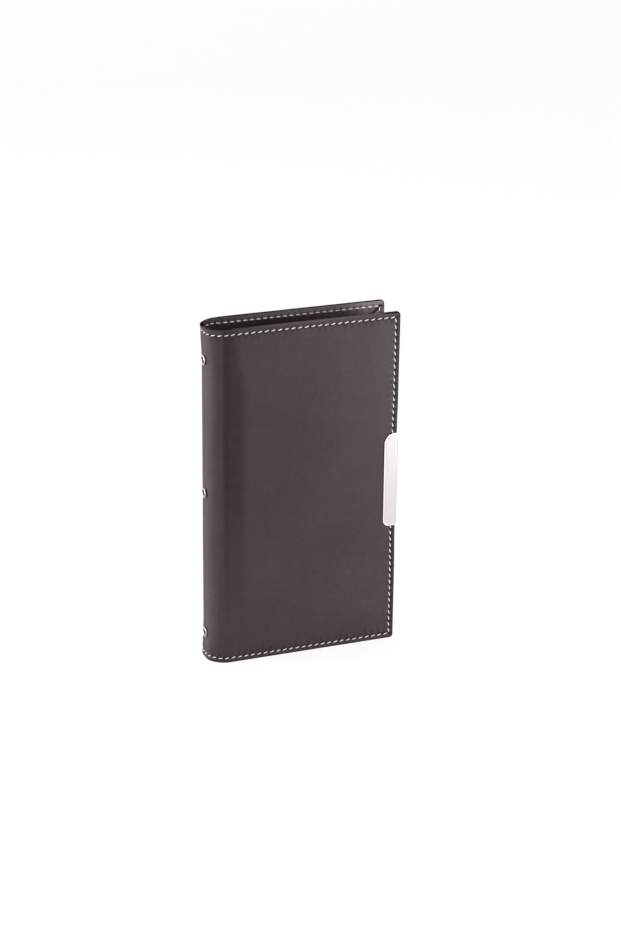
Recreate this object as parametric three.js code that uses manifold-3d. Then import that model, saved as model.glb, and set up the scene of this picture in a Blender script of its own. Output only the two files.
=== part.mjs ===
// A ring-bound business card book in sewn leather, standing closed on its bottom edge.
// Millimetres. +Z is up the book, +X runs from the spine to the fore edge, the front cover faces -Y.
import * as THREE from 'three';
import { mergeVertices } from 'three/addons/utils/BufferGeometryUtils.js';
import Module from 'manifold-3d';

const wasm = await Module();
wasm.setup();

// Case: outside sizes and the layers that the covers are made of
const bookHeight = 200;
const bookWidth = 111.8;
const bookThickness = 26.6;
const cornerRadius = 2;
const spineRadius = 11;
const leatherThickness = 0.9;
const boardThickness = 1.15;
const liningThickness = 0.55;
const glueLine = 0.05;
const boardSetback = 3;
const hingeSlit = 0.3;
const hingeAngle = Math.PI / 4;

// Slip pocket sewn on the inside of the back cover
const pocketThickness = 0.9;
const pocketDip = 4.6;
const pocketScoop = 9;
const seamMargin = 2.9;

// Metal plate folded over the front cover's fore edge
const edgePlateLength = 56.7;
const edgePlateFace = 8;
const edgePlateGauge = 0.5;
const edgePlateCorner = 4.5;

// Ring mechanism: sprung cover plate, two blades under it and the rings fixed on the blades
const plateHalfWidth = 7;
const plateHeight = 2.6;
const plateGauge = 0.7;
const plateChamfer = 1;
const notchClearance = 0.4;
const bladeThickness = 0.6;
const bladeClearance = 0.2;
const bladeEndClearance = 5.4;
const bladeGap = 0.5;
const ringRadius = 7.4;
const wireRadius = 1;
const ringStandoff = 3;
const ringPitch = 40;
const ringCount = 4;
const ringTipGap = 0.3;
const ringRootAngle = 0.9 * Math.PI;

// Tubular rivets through the spine, set by hand: not quite evenly spaced
const rivetTopDistance = 20;
const rivetMiddleRise = 1.3;
const rivetBottomDistance = 15.5;
const plateEndMargin = 7;
const rivetHeadRadius = 3;
const rivetHeadHeight = 0.8;
const rivetShankRadius = 1.6;
const rivetBoreRadius = 1.1;
const rivetLipRadius = 1.4;
const rivetClearance = 0.1;
const washerRadius = 2.6;
const washerThickness = 0.45;

// Clear pocket leaves, hung on the rings
const leavesPerSide = 5;
const leafThickness = 0.5;
const leafPitch = 0.9;
const leafEndMargin = 8;
const leafForeMargin = 5;
const leafCorner = 3;
const leafHoleRadius = 3;
const leafHoleMargin = 5;
const leafHoleSetback = 0.3;

// Facets
const arcSteps = 8;
const holeSteps = 20;
const wireSides = 8;
const ringSteps = 16;
const domeSteps = 4;

// Places that follow from the sizes
const halfThickness = bookThickness / 2;
const spineFlat = halfThickness - spineRadius;
const boardDepth = leatherThickness + glueLine;
const liningDepth = boardDepth + boardThickness + glueLine;
const coverDepth = liningDepth + liningThickness;
const spineWall = boardDepth + liningThickness;
const boardStart = spineRadius + boardSetback;
const midHeight = bookHeight / 2;
const spineInside = (y) => {
  const rise = Math.max(Math.abs(y) - spineFlat, 0);
  return spineRadius - Math.sqrt((spineRadius - spineWall) ** 2 - rise ** 2);
};
const plateSeat = spineInside(plateHalfWidth) + glueLine;
const plateTop = plateSeat + plateHeight;
const bladeEdge = plateHalfWidth - plateGauge - bladeClearance;
const bladeFloor = spineInside(bladeEdge) + bladeClearance;
const bladeTop = bladeFloor + bladeThickness;
const ringCentre = plateTop + ringStandoff;
const leafHole = ringCentre + ringRadius - leafHoleSetback;
const firstRing = midHeight - ((ringCount - 1) / 2) * ringPitch;
const ringHeights = Array.from({ length: ringCount }, (_, i) => firstRing + i * ringPitch);
const rivets = {
  top: bookHeight - rivetTopDistance,
  middle: midHeight + rivetMiddleRise,
  bottom: rivetBottomDistance,
};

// The book is drawn from its spine and then centred over the middle of its box
const book = new THREE.Group();
book.position.x = (rivetHeadHeight - bookWidth - glueLine - edgePlateGauge) / 2;
book.position.y = (glueLine + edgePlateGauge) / 2;

const leather = () => new THREE.MeshStandardMaterial({ color: '#493f40', roughness: 0.5, metalness: 0 });
const lining = () => new THREE.MeshStandardMaterial({ color: '#2b2525', roughness: 0.75, metalness: 0 });
const board = () => new THREE.MeshStandardMaterial({ color: '#8b8478', roughness: 0.9, metalness: 0 });
const nickel = () => new THREE.MeshStandardMaterial({ color: '#d9d5d0', roughness: 0.3, metalness: 1 });
const steel = () => new THREE.MeshStandardMaterial({ color: '#b9babd', roughness: 0.25, metalness: 1 });
const clearFilm = () =>
  new THREE.MeshStandardMaterial({ color: '#e8ecee', roughness: 0.15, transparent: true, opacity: 0.35 });

// Solids: a closed geometry to cut or join, and back again
function solid(geometry) {
  const bare = geometry.clone();
  bare.deleteAttribute('normal');
  bare.deleteAttribute('uv');
  const merged = mergeVertices(bare);
  const vertProperties = new Float32Array(merged.attributes.position.array);
  const triVerts = new Uint32Array(merged.index.array);
  return new wasm.Manifold(new wasm.Mesh({ numProp: 3, vertProperties, triVerts }));
}

function piece(name, body, material) {
  const { vertProperties, triVerts } = body.getMesh();
  const geometry = new THREE.BufferGeometry();
  geometry.setAttribute('position', new THREE.BufferAttribute(vertProperties, 3));
  geometry.setIndex(new THREE.BufferAttribute(triVerts, 1));
  geometry.computeVertexNormals();
  const mesh = new THREE.Mesh(geometry, material);
  mesh.name = name;
  book.add(mesh);
}

// A section drawn in X and Y, extruded up the book
function upright(points, low, high) {
  const shape = new THREE.Shape(points.map(([x, y]) => new THREE.Vector2(x, y)));
  const geometry = new THREE.ExtrudeGeometry(shape, { depth: high - low, bevelEnabled: false });
  return solid(geometry.translate(0, 0, low));
}

// An outline drawn in X and Z, extruded through the book's thickness
function panel(shape, nearY, farY) {
  const options = { depth: farY - nearY, bevelEnabled: false, curveSegments: arcSteps };
  const geometry = new THREE.ExtrudeGeometry(shape, options);
  return solid(geometry.rotateX(Math.PI / 2).translate(0, farY, 0));
}

function block(x0, x1, y0, y1, z0, z1) {
  const geometry = new THREE.BoxGeometry(x1 - x0, y1 - y0, z1 - z0);
  return solid(geometry.translate((x0 + x1) / 2, (y0 + y1) / 2, (z0 + z1) / 2));
}

function rodAlongX(radius, x0, x1, z) {
  const geometry = new THREE.CylinderGeometry(radius, radius, x1 - x0, holeSteps);
  return solid(geometry.rotateZ(Math.PI / 2).translate((x0 + x1) / 2, 0, z));
}

// A rectangle in X and Z with its own radius on the spine side and on the fore-edge side
function roundedOutline(x0, x1, z0, z1, spineSide, foreSide) {
  const shape = new THREE.Shape();
  shape.moveTo(x0 + spineSide, z0);
  shape.lineTo(x1 - foreSide, z0);
  if (foreSide > 0) shape.absarc(x1 - foreSide, z0 + foreSide, foreSide, -Math.PI / 2, 0);
  shape.lineTo(x1, z1 - foreSide);
  if (foreSide > 0) shape.absarc(x1 - foreSide, z1 - foreSide, foreSide, 0, Math.PI / 2);
  shape.lineTo(x0 + spineSide, z1);
  if (spineSide > 0) shape.absarc(x0 + spineSide, z1 - spineSide, spineSide, Math.PI / 2, Math.PI);
  shape.lineTo(x0, z0 + spineSide);
  if (spineSide > 0) shape.absarc(x0 + spineSide, z0 + spineSide, spineSide, Math.PI, Math.PI * 1.5);
  return shape;
}

// Points round one rounded corner of the spine, at a depth below the leather's outside.
// The angle is 0 where the spine is flat and a quarter turn where the cover begins.
function spineArc(side, depth, from, to) {
  const radius = spineRadius - depth;
  return Array.from({ length: arcSteps + 1 }, (_, i) => {
    const angle = from + ((to - from) * i) / arcSteps;
    return [spineRadius - radius * Math.cos(angle), side * (spineFlat + radius * Math.sin(angle))];
  });
}

// Spine: leather and lining as far as the two hinge lines, held by the rivets
const slitAngle = hingeSlit / 2 / spineRadius;
const rivetHoles = Object.values(rivets).map((z) =>
  rodAlongX(rivetShankRadius + rivetClearance, -spineRadius, spineRadius * 2, z)
);

function drilled(body) {
  return rivetHoles.reduce((left, hole) => left.subtract(hole), body);
}

function spineLayer(outer, inner) {
  const end = hingeAngle - slitAngle;
  return upright(
    [
      ...spineArc(-1, outer, end, 0),
      ...spineArc(1, outer, 0, end),
      ...spineArc(1, inner, end, 0),
      ...spineArc(-1, inner, 0, end),
    ],
    0,
    bookHeight
  );
}

piece('spine_leather', drilled(spineLayer(0, leatherThickness)), leather());
piece('spine_lining', drilled(spineLayer(boardDepth, spineWall)), lining());

// Covers: leather outside, board and lining, flush at their edges and sewn together.
// The board stops short of the spine, and the lining dips there to meet the leather.
function coverLayer(side, outer, inner) {
  const start = hingeAngle + slitAngle;
  return upright(
    [
      ...spineArc(side, outer, start, Math.PI / 2),
      [bookWidth, side * (halfThickness - outer)],
      [bookWidth, side * (halfThickness - inner)],
      ...spineArc(side, inner, Math.PI / 2, start),
    ],
    0,
    bookHeight
  );
}

function coverLining(side) {
  const start = hingeAngle + slitAngle;
  return upright(
    [
      ...spineArc(side, boardDepth, start, Math.PI / 2),
      [boardStart, side * (halfThickness - liningDepth)],
      [bookWidth, side * (halfThickness - liningDepth)],
      [bookWidth, side * (halfThickness - coverDepth)],
      [boardStart, side * (halfThickness - coverDepth)],
      ...spineArc(side, spineWall, Math.PI / 2, start),
    ],
    0,
    bookHeight
  );
}

const coverOutline = panel(
  roundedOutline(-spineRadius, bookWidth, 0, bookHeight, 0, cornerRadius),
  -bookThickness,
  bookThickness
);
const boardOutline = roundedOutline(boardStart, bookWidth, 0, bookHeight, 0, cornerRadius);

for (const [name, side] of [['front', -1], ['back', 1]]) {
  const faces = [boardDepth, boardDepth + boardThickness].map((depth) => side * (halfThickness - depth));
  piece(`${name}_leather`, coverLayer(side, 0, leatherThickness).intersect(coverOutline), leather());
  piece(`${name}_board`, panel(boardOutline, Math.min(...faces), Math.max(...faces)), board());
  piece(`${name}_lining`, coverLining(side).intersect(coverOutline), lining());
}

// Edge plate: a metal channel pressed over the front cover's fore edge
const plateHug = -halfThickness - glueLine;
const plateReach = -halfThickness + coverDepth + glueLine;
const edgeInside = bookWidth + glueLine;
const edgeOutside = edgeInside + edgePlateGauge;
const edgeStart = bookWidth - edgePlateFace;
const edgeSection = upright(
  [
    [edgeStart, plateHug - edgePlateGauge],
    [edgeOutside, plateHug - edgePlateGauge],
    [edgeOutside, plateReach + edgePlateGauge],
    [edgeStart, plateReach + edgePlateGauge],
    [edgeStart, plateReach],
    [edgeInside, plateReach],
    [edgeInside, plateHug],
    [edgeStart, plateHug],
  ],
  midHeight - edgePlateLength / 2,
  midHeight + edgePlateLength / 2
);
const edgeOutline = roundedOutline(
  edgeStart,
  edgeOutside + edgePlateFace,
  midHeight - edgePlateLength / 2,
  midHeight + edgePlateLength / 2,
  edgePlateCorner,
  0
);
piece('edge_plate', edgeSection.intersect(panel(edgeOutline, -bookThickness, bookThickness)), nickel());

// Back pocket: a leather panel with a straight mouth that curves up into the seam at the fore edge
const pocketOuter = halfThickness - coverDepth - glueLine;
const pocketTop = bookHeight - seamMargin;
const pocketMouth = pocketTop - pocketDip;
const scoopStart = bookWidth - seamMargin;
const pocketShape = new THREE.Shape();
pocketShape.moveTo(boardStart, 0);
pocketShape.lineTo(bookWidth - cornerRadius, 0);
pocketShape.absarc(bookWidth - cornerRadius, cornerRadius, cornerRadius, -Math.PI / 2, 0);
pocketShape.lineTo(bookWidth, pocketTop);
pocketShape.lineTo(scoopStart, pocketTop);
pocketShape.quadraticCurveTo(scoopStart - pocketDip, pocketMouth, scoopStart - pocketScoop, pocketMouth);
pocketShape.lineTo(boardStart, pocketMouth);
piece('back_pocket', panel(pocketShape, pocketOuter - pocketThickness, pocketOuter), leather());

// Mechanism plate: a shallow steel channel, notched where the rings come out
const channel = upright(
  [
    [plateSeat, -plateHalfWidth],
    [plateTop - plateChamfer, -plateHalfWidth],
    [plateTop, -plateHalfWidth + plateChamfer],
    [plateTop, plateHalfWidth - plateChamfer],
    [plateTop - plateChamfer, plateHalfWidth],
    [plateSeat, plateHalfWidth],
    [plateSeat, plateHalfWidth - plateGauge],
    [plateTop - plateGauge, plateHalfWidth - plateGauge],
    [plateTop - plateGauge, -plateHalfWidth + plateGauge],
    [plateSeat, -plateHalfWidth + plateGauge],
  ],
  rivets.bottom - plateEndMargin,
  rivets.top + plateEndMargin
);
const innerWire = ringRadius - wireRadius - notchClearance;
const notchStart = Math.sqrt(innerWire ** 2 - (ringCentre - plateTop + plateGauge) ** 2);
const notchHalf = wireRadius + notchClearance;
const notches = ringHeights.flatMap((z) =>
  [-1, 1].map((side) => {
    const edges = [side * notchStart, side * plateHalfWidth * 2];
    return block(0, plateTop * 2, Math.min(...edges), Math.max(...edges), z - notchHalf, z + notchHalf);
  })
);
const notched = notches.reduce((left, notch) => left.subtract(notch), channel);
piece('mechanism_plate', drilled(notched), steel());

// Rivets: tubular, with a domed head outside and a washer on the mechanism plate
const rivetEnd = plateTop + glueLine + washerThickness + glueLine;
const rivetDome = Array.from({ length: domeSteps + 1 }, (_, i) => {
  const angle = (Math.PI / 2) * (1 - i / domeSteps);
  const radius = rivetLipRadius + (rivetHeadRadius - rivetLipRadius) * Math.cos(angle);
  return [radius, -glueLine - (rivetHeadHeight - glueLine) * Math.sin(angle)];
});
const rivetProfile = [
  [rivetBoreRadius, rivetEnd],
  [rivetBoreRadius, rivetLipRadius - rivetBoreRadius - rivetHeadHeight],
  ...rivetDome,
  [rivetShankRadius, -glueLine],
  [rivetShankRadius, rivetEnd],
  [rivetBoreRadius, rivetEnd],
];

function turned(profile, z) {
  const points = profile.map(([radius, x]) => new THREE.Vector2(radius, -x)).reverse();
  const geometry = new THREE.LatheGeometry(points, holeSteps);
  return solid(geometry.rotateZ(Math.PI / 2).translate(0, 0, z));
}

const washerFloor = plateTop + glueLine;
const washerBore = rivetShankRadius + rivetClearance;
const washerProfile = [
  [washerBore, washerFloor + washerThickness],
  [washerBore, washerFloor],
  [washerRadius, washerFloor],
  [washerRadius, washerFloor + washerThickness],
  [washerBore, washerFloor + washerThickness],
];
for (const [place, z] of Object.entries(rivets)) {
  piece(`rivet_${place}`, turned(rivetProfile, z), nickel());
  piece(`rivet_washer_${place}`, turned(washerProfile, z), nickel());
}

// Ring wire: half a round ring, cut off flat where it stands on its blade
class RingPath extends THREE.Curve {
  constructor(side, z) {
    super();
    this.side = side;
    this.z = z;
  }

  getPoint(t) {
    const tip = ringTipGap / 2 / ringRadius;
    const angle = tip + (ringRootAngle - tip) * t;
    const x = ringCentre + ringRadius * Math.cos(angle);
    return new THREE.Vector3(x, this.side * ringRadius * Math.sin(angle), this.z);
  }
}

const wireSection = new THREE.Shape(
  Array.from({ length: wireSides }, (_, i) => {
    const angle = (2 * Math.PI * i) / wireSides;
    return new THREE.Vector2(wireRadius * Math.cos(angle), wireRadius * Math.sin(angle));
  })
);
const reach = bookWidth;
const aboveBlades = block(bladeTop + glueLine, reach, -reach, reach, 0, bookHeight);
const rivetRelief = rivetShankRadius + notchClearance;

for (const [name, side] of [['front', -1], ['back', 1]]) {
  const edges = [side * bladeEdge, (side * bladeGap) / 2];
  const low = rivets.bottom + rivetShankRadius + bladeEndClearance;
  const high = rivets.top - rivetShankRadius - bladeEndClearance;
  const strip = block(bladeFloor, bladeTop, Math.min(...edges), Math.max(...edges), low, high);
  const relief = block(
    0,
    plateTop,
    -rivetRelief,
    rivetRelief,
    rivets.middle - rivetRelief,
    rivets.middle + rivetRelief
  );
  piece(`${name}_blade`, strip.subtract(relief), steel());
  ringHeights.forEach((z, i) => {
    const options = { steps: ringSteps, bevelEnabled: false, extrudePath: new RingPath(side, z) };
    const wire = solid(new THREE.ExtrudeGeometry(wireSection, options));
    piece(`ring_${i + 1}_${name}`, wire.intersect(aboveBlades), steel());
  });
}

// Leaves: clear pocket sheets, numbered from the front cover to the back cover
const leafShape = roundedOutline(
  leafHole - leafHoleMargin,
  bookWidth - leafForeMargin,
  leafEndMargin,
  bookHeight - leafEndMargin,
  leafCorner,
  leafCorner
);
for (const z of ringHeights) {
  const hole = new THREE.Path();
  hole.absarc(leafHole, z, leafHoleRadius, 0, 2 * Math.PI, true);
  leafShape.holes.push(hole);
}
const leafCount = 2 * leavesPerSide;
for (let i = 0; i < leafCount; i += 1) {
  const middle = (i - (leafCount - 1) / 2) * leafPitch;
  const number = String(i + 1).padStart(2, '0');
  const sheet = panel(leafShape, middle - leafThickness / 2, middle + leafThickness / 2);
  piece(`leaf_${number}`, sheet, clearFilm());
}

export default book;
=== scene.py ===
import math

import bpy
from mathutils import Matrix, Vector, noise


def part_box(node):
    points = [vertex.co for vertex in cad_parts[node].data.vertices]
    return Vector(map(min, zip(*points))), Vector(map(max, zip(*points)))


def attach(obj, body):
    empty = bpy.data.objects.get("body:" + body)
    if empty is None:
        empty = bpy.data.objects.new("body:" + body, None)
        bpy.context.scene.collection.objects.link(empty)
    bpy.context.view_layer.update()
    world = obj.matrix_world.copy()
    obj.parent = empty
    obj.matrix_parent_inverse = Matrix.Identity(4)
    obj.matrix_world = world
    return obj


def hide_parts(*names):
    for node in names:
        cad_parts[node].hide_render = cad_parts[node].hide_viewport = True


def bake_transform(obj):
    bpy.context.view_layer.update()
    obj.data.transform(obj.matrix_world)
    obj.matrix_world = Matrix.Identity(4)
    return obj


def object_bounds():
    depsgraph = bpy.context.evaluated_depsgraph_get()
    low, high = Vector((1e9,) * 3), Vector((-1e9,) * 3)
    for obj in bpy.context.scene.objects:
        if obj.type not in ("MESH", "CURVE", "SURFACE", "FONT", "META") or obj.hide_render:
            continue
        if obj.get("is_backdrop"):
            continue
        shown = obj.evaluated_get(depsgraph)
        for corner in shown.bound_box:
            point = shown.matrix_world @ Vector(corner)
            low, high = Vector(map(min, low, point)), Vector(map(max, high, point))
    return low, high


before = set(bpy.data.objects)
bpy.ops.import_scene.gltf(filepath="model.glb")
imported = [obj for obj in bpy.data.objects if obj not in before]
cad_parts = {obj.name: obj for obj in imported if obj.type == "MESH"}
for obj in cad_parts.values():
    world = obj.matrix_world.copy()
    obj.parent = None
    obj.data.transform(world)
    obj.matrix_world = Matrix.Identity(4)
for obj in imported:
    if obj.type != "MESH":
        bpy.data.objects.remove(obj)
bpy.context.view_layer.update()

# The view: a long lens about 1.4 m away, a little above the book and to the left of its
# front cover, rolled by half a degree.
MM = 0.001
VIEW_AZIMUTH = math.radians(-21.43)
VIEW_ELEVATION = math.radians(21.07)
VIEW_ROLL = math.radians(0.60)
VIEW_DISTANCE = 1367.1 * MM
VIEW_TARGET = Vector((8.36, 0.30, 109.55)) * MM
LENS = 92.85

view_back = Vector((
    math.sin(VIEW_AZIMUTH) * math.cos(VIEW_ELEVATION),
    -math.cos(VIEW_AZIMUTH) * math.cos(VIEW_ELEVATION),
    math.sin(VIEW_ELEVATION),
))
level_right = Vector((math.cos(VIEW_AZIMUTH), math.sin(VIEW_AZIMUTH), 0))
level_up = view_back.cross(level_right)
view_right = level_right * math.cos(VIEW_ROLL) + level_up * math.sin(VIEW_ROLL)
view_up = level_up * math.cos(VIEW_ROLL) - level_right * math.sin(VIEW_ROLL)
facing = Matrix((view_right, view_up, view_back)).transposed().to_4x4()
camera = bpy.data.objects.new("camera", bpy.data.cameras.new("camera"))
bpy.context.scene.collection.objects.link(camera)
camera.data.lens = LENS
camera.data.clip_end = 30
camera.matrix_world = Matrix.Translation(VIEW_TARGET + view_back * VIEW_DISTANCE) @ facing
bpy.context.scene.camera = camera


# The setting: a plain white table and wall under four soft lamps. One stands behind on the
# left and skims the spine, one in front, one low on the right and one hangs above.
class Field:
    """One output of a finish. Arithmetic with it adds Math nodes."""

    def __init__(self, finish, socket):
        self.finish = finish
        self.socket = socket

    def maths(self, operation, first, second):
        return self.finish.node("ShaderNodeMath", {"operation": operation}, {0: first, 1: second})

    def __add__(self, other):
        return self.maths("ADD", self, other)

    def __radd__(self, other):
        return self.maths("ADD", other, self)

    def __sub__(self, other):
        return self.maths("SUBTRACT", self, other)

    def __rsub__(self, other):
        return self.maths("SUBTRACT", other, self)

    def __mul__(self, other):
        return self.maths("MULTIPLY", self, other)

    def __rmul__(self, other):
        return self.maths("MULTIPLY", other, self)


class Finish:
    """A material, or the world, on the bench: its nodes are added one by one."""

    def __init__(self, name, world=None):
        self.material = world or bpy.data.materials.new(name)
        self.material.use_nodes = True
        self.tree = self.material.node_tree
        self.tree.nodes.clear()

    def node(self, kind, settings=None, sockets=None, output=0):
        made = self.tree.nodes.new(kind)
        for key, value in (settings or {}).items():
            setattr(made, key, value)
        for key, value in (sockets or {}).items():
            if isinstance(value, Field):
                self.tree.links.new(value.socket, made.inputs[key])
            else:
                made.inputs[key].default_value = value
        return Field(self, made.outputs[output])

    def tint(self, share, first, second):
        return self.node("ShaderNodeMix", {"data_type": "RGBA"}, {0: share, 6: first, 7: second}, 2)

    def mark(self, name, output="Fac"):
        """A value that note() left on the mesh."""
        return self.node("ShaderNodeAttribute", {"attribute_name": name}, None, output)

    def noise(self, where, scale, detail=2.0, roughness=0.5):
        sockets = {"Vector": where, "Scale": scale, "Detail": detail, "Roughness": roughness}
        return self.node("ShaderNodeTexNoise", None, sockets)

    def ramp(self, value, start, end):
        """Rises softly from 0 at the start to 1 at the end."""
        sockets = {"Value": value, "From Min": start, "From Max": end}
        return self.node("ShaderNodeMapRange", {"interpolation_type": "SMOOTHSTEP"}, sockets)

    def wave(self, turns):
        """1 at every whole turn and 0 half way between."""
        return 0.5 + 0.5 * self.node("ShaderNodeMath", {"operation": "COSINE"}, {0: turns * math.tau})

    def relief(self, height, distance, strength):
        sockets = {"Height": height, "Distance": distance, "Strength": strength}
        return self.node("ShaderNodeBump", None, sockets)

    def close(self, shader, kind="ShaderNodeOutputMaterial"):
        out = self.tree.nodes.new(kind)
        self.tree.links.new(shader.socket, out.inputs["Surface"])
        return self.material

    def surface(self, sockets):
        return self.close(self.node("ShaderNodeBsdfPrincipled", None, sockets))


def screen(red, green, blue):
    """A colour named as it shows on a screen, 0 to 255."""
    linear = []
    for value in (red / 255, green / 255, blue / 255):
        linear.append(value / 12.92 if value <= 0.04045 else ((value + 0.055) / 1.055) ** 2.4)
    return (*linear, 1.0)


def made_mesh(name, points, faces, *materials):
    """A smooth-shaded piece from points in millimetres."""
    mesh = bpy.data.meshes.new(name)
    mesh.from_pydata([Vector(p) * MM for p in points], [], faces)
    mesh.polygons.foreach_set("use_smooth", [True] * len(mesh.polygons))
    for material in materials:
        mesh.materials.append(material)
    piece = bpy.data.objects.new(name, mesh)
    bpy.context.scene.collection.objects.link(piece)
    return piece


SEEN_GLOW = 0.91
MIRRORED_GLOW = 0.75


def white_paper():
    finish = Finish("white_paper")
    place = finish.node("ShaderNodeTexCoord", None, None, "Object")
    fibre = finish.noise(place, 60.0, 4.0)
    paper = finish.node("ShaderNodeBsdfDiffuse", None, {
        "Color": finish.tint(fibre, screen(236, 236, 236), screen(242, 242, 242)),
    })
    glow = finish.node("ShaderNodeEmission", None, {"Color": (1, 1, 1, 1), "Strength": 1.0})
    seen = finish.node("ShaderNodeLightPath", None, None, "Is Camera Ray")
    through = finish.node("ShaderNodeLightPath", None, None, "Is Transmission Ray")
    mirrored = finish.node("ShaderNodeLightPath", None, None, "Is Glossy Ray")
    share = (seen + through) * SEEN_GLOW + mirrored * MIRRORED_GLOW
    return finish.close(finish.node("ShaderNodeMixShader", None, {0: share, 1: paper, 2: glow}))


TABLE_REACH = 4000
WALL_AWAY = 1500
WALL_HEIGHT = 4000
SWEEP = 600
SWEEP_STEPS = 16
profile = [(-TABLE_REACH, 0.0)]
for i in range(SWEEP_STEPS + 1):
    angle = math.pi / 2 * i / SWEEP_STEPS
    profile.append((WALL_AWAY + SWEEP * math.sin(angle), SWEEP * (1 - math.cos(angle))))
profile.append((WALL_AWAY + SWEEP, WALL_HEIGHT))
points = [(x, y, z) for y, z in profile for x in (-TABLE_REACH, TABLE_REACH)]
faces = [(2 * i, 2 * i + 1, 2 * i + 3, 2 * i + 2) for i in range(len(profile) - 1)]
made_mesh("table_and_wall", points, faces, white_paper())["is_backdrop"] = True

for name, place, aim, width, height, power in (
    ("left_lamp", (-1100, 430, 350), (-50, 0, 100), 700, 900, 35),
    ("front_lamp", (-350, -1900, 900), (0, 0, 100), 1500, 1000, 22),
    ("right_lamp", (430, -460, 110), (30, 0, 120), 260, 220, 4.0),
    ("high_lamp", (300, 300, 1900), (0, 0, 120), 1100, 1100, 20),
):
    lamp = bpy.data.lights.new(name, "AREA")
    lamp.shape = "RECTANGLE"
    lamp.size = width * MM
    lamp.size_y = height * MM
    lamp.energy = power
    hung = bpy.data.objects.new(name, lamp)
    bpy.context.scene.collection.objects.link(hung)
    hung.location = Vector(place) * MM
    hung.rotation_euler = (Vector(aim) - Vector(place)).to_track_quat("-Z", "Y").to_euler()

ROOM_LIGHT = 0.30
ROOM_SEEN = 0.97
world = bpy.data.worlds.new("studio")
bpy.context.scene.world = world
room = Finish("studio", world)
seen = room.node("ShaderNodeLightPath", None, None, "Is Camera Ray")
strength = room.node("ShaderNodeMix", None, {"Factor": seen, "A": ROOM_LIGHT, "B": ROOM_SEEN}, "Result")
light = room.node("ShaderNodeBackground", None, {"Color": (1, 1, 1, 1), "Strength": strength})
room.close(light, "ShaderNodeOutputWorld")
bpy.context.scene.view_settings.view_transform = "Standard"


# The case: one skin of dark brown calf over board, lined inside. It goes from the spine's
# middle round two hinges to the fore edges, and is made here as two halves that meet on the
# spine. Its cut edges are dyed black and burnished round, but along the front cover's top the
# edge carries a paler painted highlight. The calf also carries painted sheen and painted shade.
skin_low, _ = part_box("front_leather")
_, skin_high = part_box("back_leather")
SPINE_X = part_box("spine_leather")[0].x / MM
MIDDLE_Y = (skin_low.y + skin_high.y) / 2 / MM
HALF_THICK = (skin_high.y - skin_low.y) / 2 / MM
HEIGHT = skin_high.z / MM
WIDTH = skin_high.x / MM - SPINE_X
BEND = 11.0
FLAT = HALF_THICK - BEND
ARC = BEND * math.pi / 2
GIRTH = FLAT + ARC + WIDTH - BEND
CORNER = 2.0
SPINE_WALL = 1.5
COVER_WALL = 2.7
EDGE_ROUND = 0.55
LINING_ROUND = 0.45
SEAM = 2.9
INNER_SEAM = 3.35
DYED = 0.75
LINING_DYED = 0.3
PLAY = 0.06
DISH = 0.6
FOOT_FLARE = 0.75
TOP_FLARE = 0.95
GROOVE = 0.42
BENDING = (7.0, 22.0)
BORDER = 5.2


def smooth(low, high, value):
    share = min(max((value - low) / (high - low), 0.0), 1.0)
    return share * share * (3 - 2 * share)


def hump(value, centre, width):
    return math.exp(-(((value - centre) / width) ** 2))


def cover_x(u):
    """The distance from the spine's outside, for a point of the skin in the cover's flat."""
    return u - FLAT - ARC + BEND


def wrap(side, u):
    """A place on the skin, u round from the spine's middle: its x, y and outward direction."""
    if u <= FLAT:
        return SPINE_X, MIDDLE_Y + side * u, Vector((-1, 0, 0))
    angle = (u - FLAT) / BEND
    if angle < math.pi / 2:
        outward = Vector((-math.cos(angle), side * math.sin(angle), 0))
        x = SPINE_X + BEND - BEND * math.cos(angle)
        return x, MIDDLE_Y + side * (FLAT + BEND * math.sin(angle)), outward
    return SPINE_X + cover_x(u), MIDDLE_Y + side * HALF_THICK, Vector((0, side, 0))


def round_corner(a, b, radius):
    """Draws a square corner in to a round one. a and b are distances from its two edges."""
    if a >= radius or b >= radius:
        return a, b, min(a, b)
    s = 1 - a / radius
    t = 1 - b / radius
    s, t = s * math.sqrt(1 - t * t / 2), t * math.sqrt(1 - s * s / 2)
    return radius * (1 - s), radius * (1 - t), radius * (1 - math.hypot(s, t))


def whole_pitch(length):
    """The stitch pitch, near 3.9 mm, that fits the length a whole number of times."""
    return length / round(length / 3.9)


TOP_PITCH = whole_pitch(GIRTH - SEAM)
SIDE_PITCH = whole_pitch(HEIGHT - 2 * SEAM)
rivet_boxes = [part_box(f"rivet_{place}") for place in ("bottom", "middle", "top")]
RIVET_HEIGHTS = [(low.z + high.z) / 2 / MM for low, high in rivet_boxes]


def pull(u, z):
    """How far the thread is from its stitch's middle: 0 there, 1 at the hole between two."""
    if GIRTH - u < min(z, HEIGHT - z):
        return 0.5 + 0.5 * math.cos(2 * math.pi * (z - SEAM) / SIDE_PITCH)
    return 0.5 + 0.5 * math.cos(2 * math.pi * u / TOP_PITCH)


def crease(u, z):
    """The hinge groove: steep towards the spine, easy towards the cover, deeper higher up."""
    x = cover_x(u)
    narrow = smooth(160, 192, z)
    across = smooth(6.4, 8.2, x) * (1 - smooth(15 - 4 * narrow, 22 - 4 * narrow, x))
    return across * (0.08 + 0.92 * smooth(5, 130, z))


def sag(u, z):
    """How much lower the skin's top lies round the spine than along the covers."""
    low = 0.5 * smooth(HEIGHT - 22, HEIGHT - 4, z) - 0.05 * smooth(HEIGHT - SEAM, HEIGHT, z)
    return low * (1 - smooth(6, 28, u))


def spread(z):
    """How far the cover's fore edge stands out, above and below the metal plate."""
    below = 0.3 * (1 - smooth(45, 68, z))
    return below + smooth(132, 150, z) * (0.3 + 0.2 * smooth(150, HEIGHT, z))


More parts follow.
